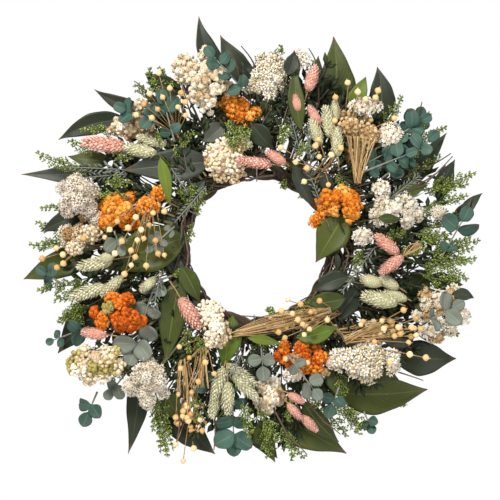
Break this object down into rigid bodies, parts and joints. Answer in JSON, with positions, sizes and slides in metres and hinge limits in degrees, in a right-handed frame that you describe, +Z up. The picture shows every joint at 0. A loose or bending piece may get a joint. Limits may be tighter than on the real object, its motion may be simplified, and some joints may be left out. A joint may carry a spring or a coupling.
{
  "type": "harvest door wreath",
  "caption": "Round vine-base door wreath of dried leaves, everlasting flowers, seed pods, grass heads and eucalyptus, with a swinging wire hanging loop.",
  "frame": {"origin": "inside top of the wire hanging loop, where a nail or hook carries the wreath", "axes": "+Z up, -Y out of the door towards the viewer, +X to the viewer's right"},
  "size_m": [0.5559, 0.0829, 0.5367],
  "materials": {
    "ash": "dry petals, matte",
    "bed": "dark dried foliage, matte",
    "cream": "dry petals, matte",
    "eucalyptus": "waxy bloom, matte",
    "flax": "dry seed pods, matte",
    "grass_head": "fine bristled, matte",
    "greens": "preserved leaflets, matte",
    "leaf_bright": "waxed leaf, satin",
    "leaf_dark": "smooth dry leaf, faint sheen",
    "leaf_grey": "smooth dry leaf, faint sheen",
    "leaf_olive": "waxed leaf, satin",
    "orange": "dry petals, matte",
    "rust": "dry petals, matte",
    "silver_leaf": "waxy bloom, matte",
    "vine": "rough dry bark",
    "white": "dry petals, matte",
    "wire": "dull galvanised"
  },
  "bodies": {
    "root": {"vine_strand_1": "vine", "vine_strand_2": "vine", "vine_strand_3": "vine", "tie_wire_1": "wire", "tie_wire_2": "wire", "tie_wire_3": "wire", "hanger_eye": "wire", "stem_bed": "bed", "leaf_top_left": "leaf_dark", "leaf_top_centre": "leaf_dark", "leaf_top_right": "leaf_olive", "leaf_right_shoulder": "leaf_dark", "leaf_left_upper": "leaf_dark", "leaf_left_crescent": "leaf_dark", "leaf_left_long": "leaf_grey", "leaf_left_point": "leaf_olive", "leaf_left_lower": "leaf_dark", "leaf_lower_left_long": "leaf_dark", "leaf_bottom_left": "leaf_dark", "leaf_bottom_right": "leaf_olive", "leaf_lower_right": "leaf_olive", "leaf_right_curled": "leaf_dark", "leaf_right_broad": "leaf_olive", "leaf_right_long": "leaf_dark", "leaf_inner_top_left": "leaf_grey", "leaf_inner_left": "leaf_olive", "leaf_inner_lower_left": "leaf_olive", "leaf_inner_bottom": "leaf_bright", "leaf_inner_right": "leaf_olive", "leaf_inner_lower_right": "leaf_dark", "greens_right": "greens", "greens_bottom_left": "greens", "flax_lower_left": "flax", "flax_upper_right": "flax", "flax_bottom": "flax", "flax_lower_right": "flax", "eucalyptus_upper_right": "eucalyptus", "eucalyptus_lower_left": "silver_leaf", "eucalyptus_bottom": "eucalyptus", "grass_left": "grass_head", "grass_right": "grass_head", "orange_top": "orange", "orange_left": "orange", "orange_lower_left": "rust", "orange_right": "orange", "orange_bottom": "rust", "cream_top_left": "cream", "cream_shoulder_left": "cream", "yarrow_top": "cream", "ashy_left": "ash", "cream_left": "cream", "cream_lower_left": "cream", "white_lower_left": "white", "yarrow_bottom": "cream", "cream_bottom": "cream", "star_top": "white", "star_lower_right": "white", "ashy_right": "ash", "white_right": "white"},
    "hang_loop": {"hang_loop": "wire"}
  },
  "joints": [
    {"name": "hang_loop_swing", "type": "hinge", "parent": "root", "child": "hang_loop", "pos_m": [0, 0, -0.0332], "axis": [1, 0, 0], "range_deg": [-150, 15]}
  ]
}
